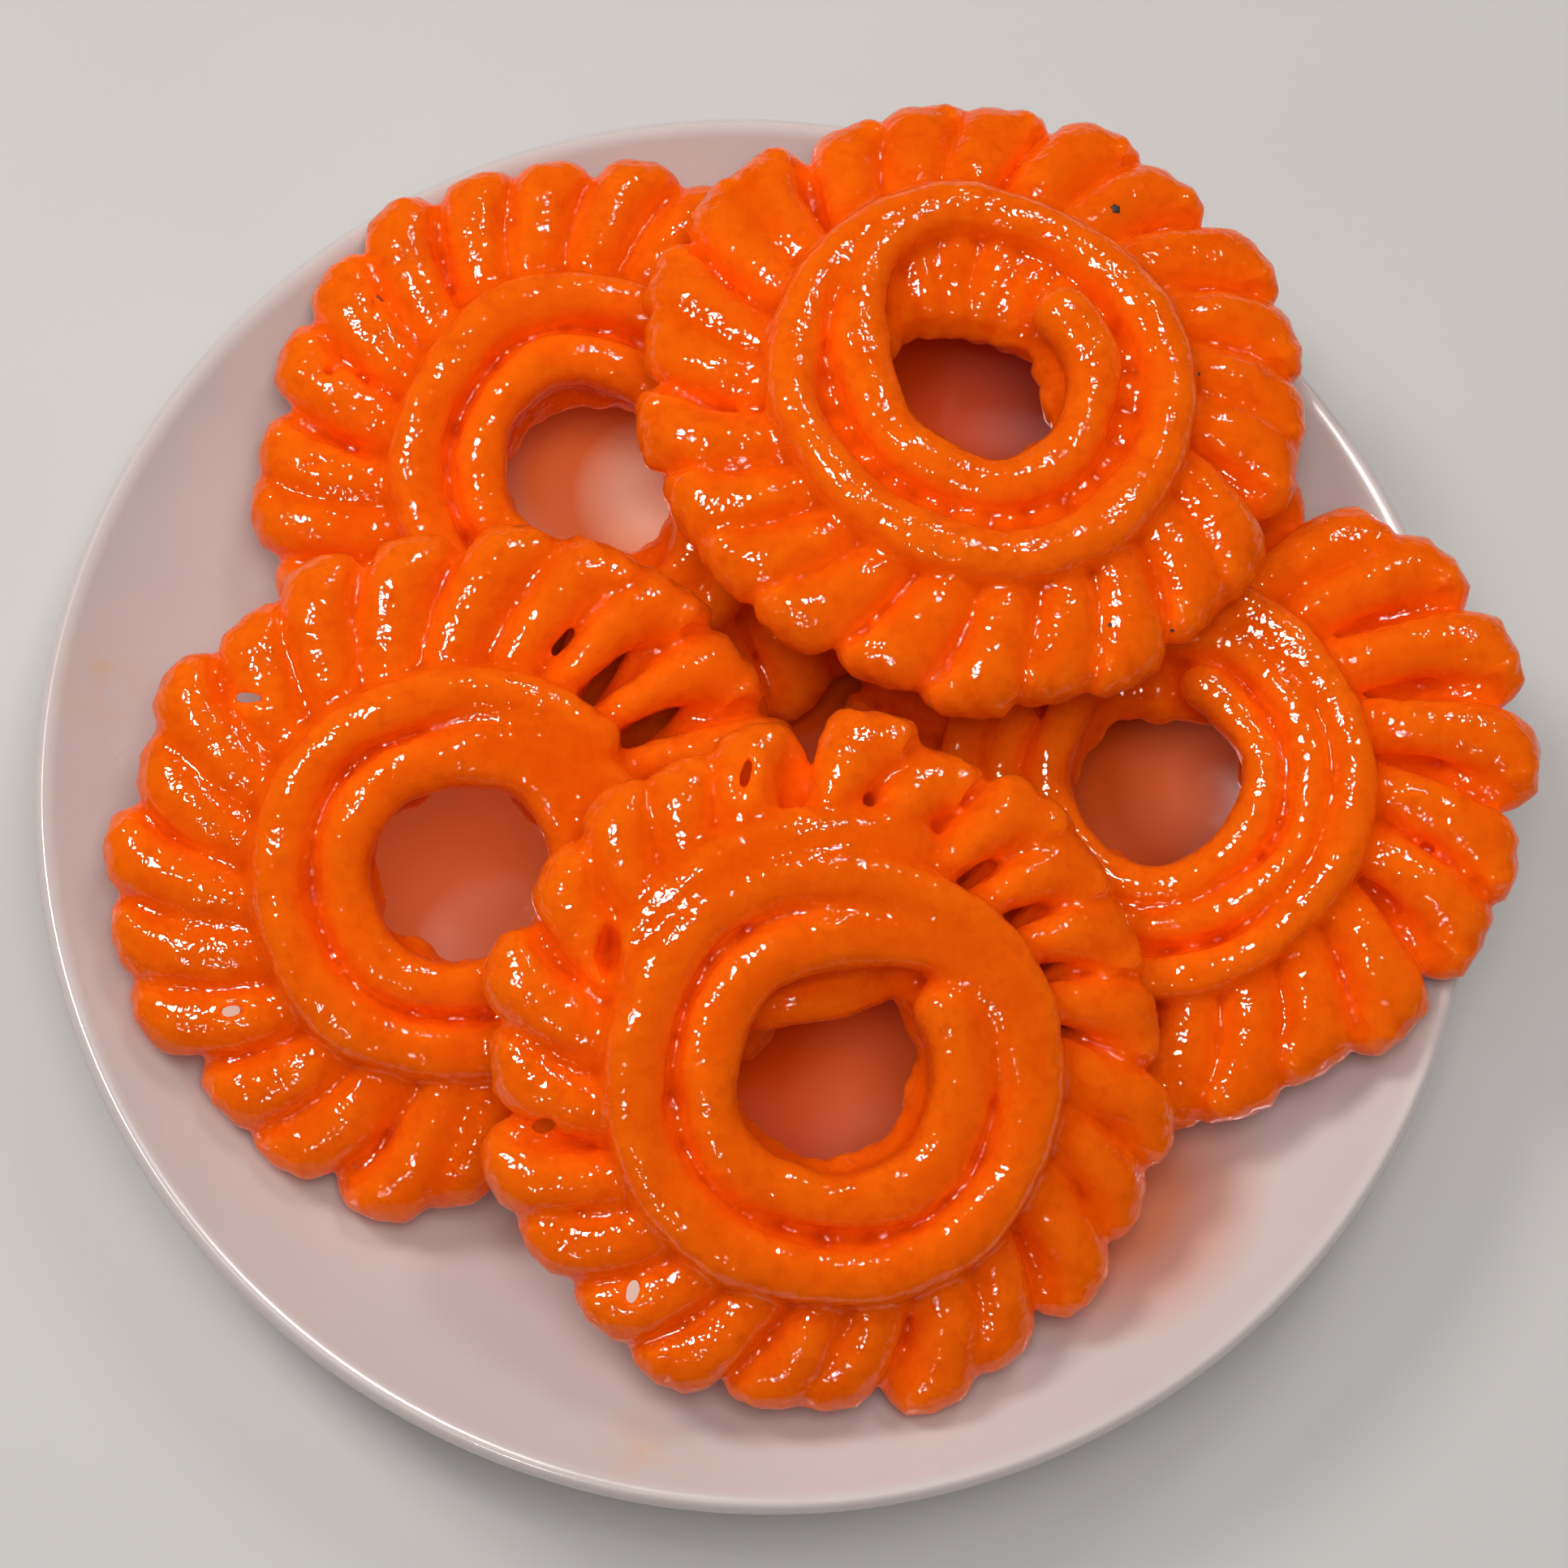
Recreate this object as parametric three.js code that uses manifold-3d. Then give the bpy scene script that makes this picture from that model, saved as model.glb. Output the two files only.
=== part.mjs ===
// A plate of jangiri: five piped, syrup-soaked sweets heaped on a shallow round plate.
// Each sweet is one strand of fried batter: a ring of overlapping petal loops, with a two-turn spiral on top.
// Units are millimetres, +Z is up, and the origin is on the table under the middle of the whole part:
// the plate stands a little to one side of it, because one sweet hangs over the lip.
import * as THREE from "three";
import { ParametricGeometry } from "three/addons/geometries/ParametricGeometry.js";
import { mergeVertices } from "three/addons/utils/BufferGeometryUtils.js";
import Module from "manifold-3d";

const wasm = await Module();
wasm.setup();

// Plate: its floor curves up to a rounded lip, and it stands on a low foot ring
const PLATE_X = -3;
const PLATE_RADIUS = 100;
const PLATE_HEIGHT = 24;
const PLATE_WALL = 4;
const LIP = 1.5;
const FLOOR_RADIUS = 58;
const FLOOR_HEIGHT = 7;
const FOOT_INNER_RADIUS = 53;
const FOOT_DEPTH = 2.5;
const PLATE_SEGMENTS = 48;
const WALL_STEPS = 4;

// Strand of batter
const STRAND_RADIUS = 3.75;

// Petal loops, measured at the middle of the strand
const PETAL_REACH = 43;
const PETAL_INNER = 15.2;
const PETAL_FAN = 1.5;
const PETAL_LEAN = 1.5;
const LOOP_MIDDLE = 6.55;
const LOOP_HALF_RISE = 2.8;
const CREASE = 0.35;
const PETAL_SLICES = 3;
const LOOP_STEPS = 8;
const TOP_STEPS = 5;

// Hand-piped unevenness: the most that each size departs from its mean
const UNEVEN_REACH = 1.6;
const UNEVEN_INNER = 1;
const UNEVEN_LEAN = 1.5;
const UNEVEN_SPACING = 0.2;

// Spiral: an inner turn, then a step out to an outer turn, on the smooth part of the loops
const SPIRAL_HEIGHT = 12.5;
const SPIRAL_TURNS = 2;
const STEP_OUT_FROM = 0.7;
const STEP_OUT_TO = 1.15;
const SPIRAL_STEPS = 26;
const SPIRAL_SIDES = 6;
const SPIRAL_HALF_WIDTH = 5;
const SPIRAL_HALF_HEIGHT = 4.2;
const SEAT_FROM = 0.25;
const SEAT_TO = 0.45;

// The sweets in the order that they were laid, in millimetres and degrees.
// A sweet's plane rises by tilt towards the bearing uphill, and its petals reach swell farther at swellAt.
const SWEETS = [
  {
    name: "jangiri_back_left",
    place: { x: -28, y: 46, lift: 12.65, tilt: 9.5, uphill: 125 },
    petals: { count: 23, spin: 4, seed: 11, swell: 0, swellAt: 0 },
    spiral: { x: 0, y: 0, inner: 15.8, outer: 24.5, tip: 200 },
  },
  {
    name: "jangiri_right",
    place: { x: 53.1, y: -1, lift: 14.75, tilt: 11.5, uphill: 8 },
    petals: { count: 22, spin: 5, seed: 21, swell: 6.5, swellAt: 22 },
    spiral: { x: 0, y: 0, inner: 15.6, outer: 26, tip: 60 },
  },
  {
    name: "jangiri_left",
    place: { x: -45.5, y: -12.5, lift: 18.7, tilt: 13, uphill: 100 },
    petals: { count: 23, spin: 7, seed: 31, swell: 2.5, swellAt: 65 },
    spiral: { x: 0, y: 0, inner: 15.3, outer: 23.5, tip: 100 },
  },
  {
    name: "jangiri_front",
    place: { x: 3, y: -41, lift: 25.6, tilt: 15.5, uphill: 110 },
    petals: { count: 23, spin: 10, seed: 41, swell: 0, swellAt: 0 },
    spiral: { x: -0.5, y: -0.5, inner: 16.6, outer: 26.5, tip: 200 },
  },
  {
    name: "jangiri_top",
    place: { x: 24.5, y: 50, lift: 29.9, tilt: 7.5, uphill: -112 },
    petals: { count: 23, spin: 2, seed: 51, swell: 3, swellAt: 35 },
    spiral: { x: 1, y: 0, inner: 16, outer: 26.5, tip: 40 },
  },
];

const FULL_TURN = 2 * Math.PI;
const { degToRad, lerp, smoothstep } = THREE.MathUtils;

const batter = new THREE.MeshStandardMaterial({ color: 0xf26100, roughness: 0.25, metalness: 0 });
const porcelain = new THREE.MeshStandardMaterial({ color: 0xf1e6e1, roughness: 0.35, metalness: 0 });

// A repeatable number from -1 to 1 for item k of a seeded series.
function uneven(seed, k) {
  const wave = Math.sin(12.9898 * k + 78.233 * seed) * 43758.5453;
  return 2 * (wave - Math.floor(wave)) - 1;
}

// The same series as a smooth run along the petals, which closes on itself after the last one.
function unevenAlong(seed, along, count) {
  const k = Math.floor(along);
  const ease = smoothstep(along - k, 0, 1);
  return lerp(uneven(seed, k % count), uneven(seed, (k + 1) % count), ease);
}

// How far a strand stands out of the petal ring across its width, from CREASE at its sides to 1 on top.
function ridge(across) {
  return CREASE + (1 - CREASE) * Math.sqrt(1 - (2 * across - 1) ** 2);
}

// How much of a loop lies before v: the top takes TOP_STEPS of the steps, and the flatter underside the rest.
function loopShare(v) {
  const top = TOP_STEPS / LOOP_STEPS;
  return v < top ? (0.5 * v) / top : 1 - (0.5 * (1 - v)) / (1 - top);
}

// The surface of one strand wound round a flat ring: u runs round the sweet, and v once round a loop,
// from the rim over the top to the hole and back underneath. Under the spiral the loops are smooth.
function petalSurface({ count, spin, seed, swell, swellAt }) {
  return (u, v, target) => {
    const share = loopShare(v);
    const loop = FULL_TURN * share;
    const along = u * count + share;
    const spacing = UNEVEN_SPACING * unevenAlong(seed + 3, along, count);
    const bearing = degToRad(spin) + (FULL_TURN * (along + spacing)) / count;
    const swelling = swell * Math.max(0, Math.cos(bearing - degToRad(swellAt))) ** 2;
    const reach = PETAL_REACH + swelling + UNEVEN_REACH * unevenAlong(seed, along, count);
    const inner = PETAL_INNER + UNEVEN_INNER * unevenAlong(seed + 1, along, count);
    const lean = PETAL_LEAN + UNEVEN_LEAN * unevenAlong(seed + 2, along, count);
    const seated = share > SEAT_FROM && share < SEAT_TO;
    const strand = STRAND_RADIUS * (seated ? 1 : ridge((u * count) % 1));
    const radius = (reach + inner) / 2 + ((reach - inner) / 2 + strand) * Math.cos(loop);
    const sideways = PETAL_FAN * Math.sin(loop) - lean * Math.cos(loop);
    target.set(
      radius * Math.cos(bearing) - sideways * Math.sin(bearing),
      radius * Math.sin(bearing) + sideways * Math.cos(bearing),
      LOOP_MIDDLE + (LOOP_HALF_RISE + strand) * Math.sin(loop),
    );
  };
}

// The middle of the spiral strand, which runs clockwise from its tip beside the hole.
class SpiralCurve extends THREE.Curve {
  constructor(spiral) {
    super();
    this.spiral = spiral;
  }

  getPoint(t, target = new THREE.Vector3()) {
    const { x, y, inner, outer, tip } = this.spiral;
    const turned = t * SPIRAL_TURNS;
    const radius = lerp(inner, outer, smoothstep(turned, STEP_OUT_FROM, STEP_OUT_TO));
    const bearing = degToRad(tip) - FULL_TURN * turned;
    return target.set(x + radius * Math.cos(bearing), y + radius * Math.sin(bearing), SPIRAL_HEIGHT);
  }
}

function spiralGeometry(spiral) {
  const corners = Array.from({ length: SPIRAL_SIDES }, (_, i) => {
    const angle = (FULL_TURN * (i + 0.5)) / SPIRAL_SIDES;
    return new THREE.Vector2(SPIRAL_HALF_HEIGHT * Math.cos(angle), SPIRAL_HALF_WIDTH * Math.sin(angle));
  });
  return new THREE.ExtrudeGeometry(new THREE.Shape(corners), {
    extrudePath: new SpiralCurve(spiral),
    steps: SPIRAL_STEPS,
    bevelEnabled: false,
  });
}

function toSolid(geometry) {
  geometry.deleteAttribute("normal");
  geometry.deleteAttribute("uv");
  const merged = mergeVertices(geometry);
  return new wasm.Manifold(
    new wasm.Mesh({
      numProp: 3,
      vertProperties: merged.attributes.position.array,
      triVerts: new Uint32Array(merged.index.array),
    }),
  );
}

function toGeometry(solid) {
  const mesh = solid.getMesh();
  const geometry = new THREE.BufferGeometry();
  geometry.setAttribute("position", new THREE.BufferAttribute(mesh.vertProperties, 3));
  geometry.setIndex(new THREE.BufferAttribute(mesh.triVerts, 1));
  geometry.computeVertexNormals();
  return geometry;
}

// Joins two shapes into one body: hollows sealed between them are filled.
function fuse(first, second) {
  const bodies = toSolid(first).add(toSolid(second)).decompose();
  return bodies.reduce((largest, body) => (body.volume() > largest.volume() ? body : largest));
}

function sweetMesh({ name, petals, spiral }) {
  const petalRing = new ParametricGeometry(petalSurface(petals), petals.count * PETAL_SLICES, LOOP_STEPS);
  const mesh = new THREE.Mesh(toGeometry(fuse(petalRing, spiralGeometry(spiral))), batter);
  mesh.name = name;
  return mesh;
}

// Puts a sweet down on the heap: turned about a level line, so that its uphill side rises.
function layDown(sweet) {
  const { x, y, lift, tilt, uphill } = sweet.place;
  const bearing = degToRad(uphill);
  const hinge = new THREE.Vector3(Math.sin(bearing), -Math.cos(bearing), 0);
  const laid = new THREE.Group();
  laid.position.set(x, y, lift);
  laid.quaternion.setFromAxisAngle(hinge, degToRad(tilt));
  laid.add(sweetMesh(sweet));
  return laid;
}

// A point of the plate's upper face, a thickness below it: level floor, then a rising curve to the lip.
function wallPoint(radius, below) {
  const climb = Math.max(0, (radius - FLOOR_RADIUS) / (PLATE_RADIUS - LIP - FLOOR_RADIUS));
  return new THREE.Vector2(radius, FLOOR_HEIGHT + (PLATE_HEIGHT - FLOOR_HEIGHT) * climb ** 2 - below);
}

function plateMesh() {
  const radii = Array.from({ length: WALL_STEPS + 1 }, (_, i) =>
    lerp(FLOOR_RADIUS, PLATE_RADIUS - LIP, i / WALL_STEPS));
  const profile = [
    new THREE.Vector2(0, FOOT_DEPTH),
    new THREE.Vector2(FOOT_INNER_RADIUS, FOOT_DEPTH),
    new THREE.Vector2(FOOT_INNER_RADIUS, 0),
    new THREE.Vector2(FLOOR_RADIUS, 0),
    ...radii.slice(1).map((radius) => wallPoint(radius, PLATE_WALL)),
    new THREE.Vector2(PLATE_RADIUS, PLATE_HEIGHT - LIP),
    ...radii.toReversed().map((radius) => wallPoint(radius, 0)),
    new THREE.Vector2(0, FLOOR_HEIGHT),
  ];
  const mesh = new THREE.Mesh(new THREE.LatheGeometry(profile, PLATE_SEGMENTS), porcelain);
  mesh.name = "plate";
  mesh.position.x = PLATE_X;
  mesh.rotation.x = Math.PI / 2;
  return mesh;
}

const plateOfJangiri = new THREE.Group();
plateOfJangiri.add(plateMesh(), ...SWEETS.map(layDown));

export default plateOfJangiri;
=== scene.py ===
"""Looks for a plate of jangiri: five piped sweets, wet with syrup, on a shallow glazed plate."""

import logging
import math
from dataclasses import dataclass, field
from enum import Enum

import bpy
import numpy as np
from bpy.types import ID, Material, Mesh, NodeSocket as Socket, Object, ShaderNode
from mathutils import Matrix, Vector, noise
from mathutils.bvhtree import BVHTree


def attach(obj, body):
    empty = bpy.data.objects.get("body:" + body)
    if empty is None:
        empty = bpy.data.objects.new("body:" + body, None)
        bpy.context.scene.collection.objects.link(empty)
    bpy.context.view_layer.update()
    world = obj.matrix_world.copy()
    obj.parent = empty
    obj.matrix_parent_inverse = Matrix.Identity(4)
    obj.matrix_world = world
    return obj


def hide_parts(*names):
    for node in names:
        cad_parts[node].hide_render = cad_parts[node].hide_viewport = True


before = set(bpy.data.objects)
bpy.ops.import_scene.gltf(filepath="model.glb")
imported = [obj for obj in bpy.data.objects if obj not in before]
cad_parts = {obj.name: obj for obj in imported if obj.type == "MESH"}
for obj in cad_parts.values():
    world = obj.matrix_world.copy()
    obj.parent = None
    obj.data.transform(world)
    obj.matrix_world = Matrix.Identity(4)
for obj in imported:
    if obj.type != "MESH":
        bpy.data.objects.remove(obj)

Colour = tuple[float, float, float]
Spot = tuple[float, float, float]
Span = tuple[float, float]
Pixel = tuple[float, float]

LOG = logging.getLogger("plate_of_jangiri")
MM = 0.001
FULL_TURN = 2 * math.pi
UP = (0.0, 0.0, 1.0)
BODY = "root"
CREASE = "crease"

# Colours used more than once
DARK = (0.0, 0.0, 0.0)
CLEAN_GLAZE = (0.69, 0.615, 0.600)
# Painted light: the glow on the floor under the slits
SLIT_LIGHT = (0.60, 0.42, 0.33)

# Parts of a noise's range
WHOLE = (0.0, 1.0)
MOST = (0.35, 0.65)
WIDE = (0.3, 0.7)
PEAKS = (0.50, 0.75)

# The mix node's sockets for colours
MIX_COLOURS = (6, 7)
MIX_RESULT = 2

# A repeatable scatter: its steps from item to item and from run to run, and its size
SCATTER_ITEM = 12.9898
SCATTER_RUN = 78.233
SCATTER_SIZE = 43758.5453

# How far the noise moves on from one seed to the next
SEED_STEP = np.array((1.7, 0.9, 0.0))


class Slot(Enum):
    """The record's material slots."""

    SYRUP_BATTER = "syrup_batter"
    PORCELAIN = "porcelain"


class Light(Enum):
    """What a lamp is for: soft light, or the sparkle in wet surfaces."""

    SOFT = "soft"
    SPARKLE = "sparkle"


class Shading(Enum):
    """Shader node kinds, by what they do here."""

    SURFACE = "ShaderNodeBsdfPrincipled"
    OUTPUT = "ShaderNodeOutputMaterial"
    PLACE = "ShaderNodeTexCoord"
    GRAIN = "ShaderNodeTexNoise"
    RELIEF = "ShaderNodeBump"
    SPREAD = "ShaderNodeMapRange"
    BLEND = "ShaderNodeMix"
    MATHS = "ShaderNodeMath"
    VECTOR = "ShaderNodeVectorMath"
    MARK = "ShaderNodeAttribute"


class Sum(Enum):
    """The sums that are done with two values."""

    PRODUCT = "MULTIPLY"
    LARGER = "MAXIMUM"


class Run(Enum):
    """The sizes of a petal loop that are uneven, each by its own run of numbers."""

    REACH = 0
    INNER = 1
    LEAN = 2
    SPACING = 3
    WIDTH = 4


class Cut(Enum):
    """How a slit is cut: depths along the line of sight, in millimetres, and how wide it is at each."""

    THROUGH = ((24.0, 2.6), (4.0, 1.4), (0.0, 1.0), (-20.0, 0.9))
    DENT = ((1.0, 0.25), (0.4, 0.5), (-1.0, 0.75), (-3.0, 1.0), (-4.5, 1.5), (-6.0, 2.4), (-20.0, 5.0))


def put_in_scene(name: str, data: ID) -> Object:
    """Puts an object in the scene.

    Args:
        name: the object's name.
        data: its mesh, light or camera.

    Returns:
        The object, at the origin.
    """
    made = bpy.data.objects.new(name, data)
    bpy.context.scene.collection.objects.link(made)
    return made


class NodeGraph:
    """The shader nodes of one material, with short ways to add and join them."""

    def __init__(self, name: str) -> None:
        """Starts an empty material.

        Args:
            name: the material's name.
        """
        self.material = bpy.data.materials.new(name)
        self.material.use_nodes = True
        self.tree = self.material.node_tree
        self.tree.nodes.clear()
        self.surface = self.add(Shading.SURFACE)
        output = self.add(Shading.OUTPUT)
        self.join(self.surface.outputs["BSDF"], output.inputs["Surface"])
        where = self.add(Shading.PLACE)
        self.place = where.outputs["Object"]
        self.facing = where.outputs["Normal"]

    def add(self, kind: Shading, **inputs: object) -> ShaderNode:
        """Adds a node.

        Args:
            kind: the node's kind.
            inputs: values for its named sockets, with _ for a space.

        Returns:
            The new node.
        """
        node = self.tree.nodes.new(kind.value)
        for name, value in inputs.items():
            node.inputs[name.replace("_", " ")].default_value = value
        return node

    def join(self, source: Socket, target: Socket) -> None:
        """Links one socket to another."""
        self.tree.links.new(source, target)

    def feed(self, source: Socket, *names: str) -> None:
        """Links a socket to the surface shader's named sockets."""
        for name in names:
            self.join(source, self.surface.inputs[name])

    def set_surface(self, **values: object) -> None:
        """Sets values on the surface shader's own sockets, with _ for a space."""
        for name, value in values.items():
            self.surface.inputs[name.replace("_", " ")].default_value = value

    def grain(self, size_mm: float, detail: float, roughness: float = 0.5) -> Socket:
        """Adds a soft noise.

        Args:
            size_mm: the size of one lump of the noise.
            detail: how many finer layers it has.
            roughness: how strong those are.

        Returns:
            The noise's value.
        """
        node = self.add(Shading.GRAIN, Scale=1 / (size_mm * MM), Detail=detail, Roughness=roughness)
        self.join(self.place, node.inputs["Vector"])
        return node.outputs["Fac"]

    def spread(self, source: Socket, start: Span, end: Span) -> Socket:
        """Stretches a value from one range to another, held at both ends.

        Args:
            source: the value.
            start: the range that it comes in.
            end: the range that it goes out in.

        Returns:
            The stretched value.
        """
        node = self.add(Shading.SPREAD, From_Min=start[0], From_Max=start[1], To_Min=end[0], To_Max=end[1])
        self.join(source, node.inputs["Value"])
        return node.outputs["Result"]

    def blend(self, share: Socket, first: Colour | Socket, second: Colour | Socket) -> Socket:
        """Mixes two colours.

        Args:
            share: how much of the second colour shows.
            first: a colour or a socket that gives one.
            second: a colour or a socket that gives one.

        Returns:
            The mixed colour.
        """
        node = self.add(Shading.BLEND)
        node.data_type = "RGBA"
        self.join(share, node.inputs[0])
        for index, colour in zip(MIX_COLOURS, (first, second)):
            if isinstance(colour, tuple):
                node.inputs[index].default_value = (*colour, 1.0)
            else:
                self.join(colour, node.inputs[index])
        return node.outputs[MIX_RESULT]

    def maths(self, kind: Sum, first: Socket, second: Socket) -> Socket:
        """Works out one sum.

        Args:
            kind: the kind of sum.
            first: the first value.
            second: the second value.

        Returns:
            The answer.
        """
        node = self.add(Shading.MATHS)
        node.operation = kind.value
        self.join(first, node.inputs[0])
        self.join(second, node.inputs[1])
        return node.outputs["Value"]

    def mark(self, name: str) -> Socket:
        """Reads a number that the mesh keeps at each point.

        Args:
            name: the number's name.

        Returns:
            The number.
        """
        node = self.add(Shading.MARK)
        node.attribute_name = name
        return node.outputs["Fac"]

    def near(self, spot_mm: Spot, reach_mm: float) -> Socket:
        """Marks the surface round a spot.

        Args:
            spot_mm: the middle.
            reach_mm: how far the mark reaches.

        Returns:
            A value that falls from 1 at the spot to 0 at its reach.
        """
        node = self.add(Shading.VECTOR)
        node.operation = "DISTANCE"
        self.join(self.place, node.inputs[0])
        node.inputs[1].default_value = Vector(spot_mm) * MM
        return self.spread(node.outputs["Value"], (0.0, reach_mm * MM), (1.0, 0.0))

    def facing_up(self, level_from: float = 0.3) -> Socket:
        """Marks the faces that look up.

        Args:
            level_from: the upright part of a face's direction from which it is fully marked.

        Returns:
            A value of 1 on a face that looks up, and 0 on an upright one or an underside.
        """
        node = self.add(Shading.VECTOR)
        node.operation = "DOT_PRODUCT"
        self.join(self.facing, node.inputs[0])
        node.inputs[1].default_value = UP
        return self.spread(node.outputs["Value"], (0.0, level_from), WHOLE)

    def relief(self, *layers: tuple[Socket, float]) -> Socket:
        """Stacks bumps on each other.

        Args:
            layers: pairs of a height and how deep it goes in millimetres.

        Returns:
            The bent normal.
        """
        normal = None
        for height, depth_mm in layers:
            node = self.add(Shading.RELIEF, Strength=1.0, Distance=depth_mm * MM)
            self.join(height, node.inputs["Height"])
            if normal is not None:
                self.join(normal, node.inputs["Normal"])
            normal = node.outputs["Normal"]
        return normal


@dataclass(frozen=True)
class SyrupBatter:
    """Fried orange batter that light sinks into, under clear syrup: paler on ridges, as painted light shining
    through the batter, and deeper in creases, as painted shade.
    """

    name: str = "syrup_batter"
    colour: Colour = (0.86, 0.092, 0.001)
    # pale: painted light on ridges, and also random paler drift
    pale: Colour = (0.95, 0.140, 0.003)
    # deep: painted shade in creases, and also random darker mottle
    deep: Colour = (0.62, 0.043, 0.0005)
    ridge_mm: float = 0.5
    crease_mm: Span = (0.25, 1.3)
    drift_size_mm: float = 11.0
    most_drift: float = 0.5
    most_mottle: float = 0.25
    lump_size_mm: float = 2.2
    lump_depth_mm: float = 0.12
    bubble_size_mm: float = 1.1
    bubble_depth_mm: float = 0.14
    roughness: Span = (0.22, 0.40)
    batter_ior: float = 1.38
    syrup_ior: float = 1.45
    syrup_roughness: float = 0.03
    glow_depth_mm: float = 7.0
    glow_reach: Colour = (1.0, 0.70, 0.12)

    def material(self) -> Material:
        """Makes the finish.

        Returns:
            The material.
        """
        graph = NodeGraph(self.name)
        graph.surface.subsurface_method = "BURLEY"
        crease = graph.mark(CREASE)
        lumps = graph.grain(self.lump_size_mm, 2.0)
        drift = graph.spread(graph.grain(self.drift_size_mm, 1.0), MOST, (0.0, self.most_drift))
        mottle = graph.spread(lumps, PEAKS, (0.0, self.most_mottle))
        # Painted light: ridges lighter, as if lit through the batter, mixed with random drift
        tone_and_ridge_glow = graph.maths(Sum.LARGER, drift, graph.spread(crease, (-self.ridge_mm, 0.0), (1.0, 0.0)))
        # Painted shade: creases deeper, mixed with random mottle
        tone_and_crease_shade = graph.maths(Sum.LARGER, mottle, graph.spread(crease, self.crease_mm, WHOLE))
        body = graph.blend(tone_and_ridge_glow, self.colour, self.pale)
        graph.feed(graph.blend(tone_and_crease_shade, body, self.deep), "Base Color")
        graph.feed(graph.spread(lumps, MOST, self.roughness), "Roughness")
        bubbles = graph.grain(self.bubble_size_mm, 1.0)
        syrup = graph.relief((lumps, self.lump_depth_mm), (bubbles, self.bubble_depth_mm))
        graph.feed(syrup, "Normal", "Coat Normal")
        graph.set_surface(
            Subsurface_Weight=1.0,
            Subsurface_Radius=self.glow_reach,
            Subsurface_Scale=self.glow_depth_mm * MM,
            IOR=self.batter_ior,
            Specular_IOR_Level=0.0,
            Coat_Weight=1.0,
            Coat_Roughness=self.syrup_roughness,
            Coat_IOR=self.syrup_ior,
        )
        return graph.material


@dataclass(frozen=True)
class PaintedLightPatch:
    """A patch of the plate's floor under the sweets.

    Its colour is painted light and shade: an orange tint for the light that the sweets let through and for
    their shadow. Its glow is painted light, the light that the sweets let through on to it.
    """

    spot_mm: Spot
    reach_mm: float
    colour: Colour
    glow: Colour = DARK


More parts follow.
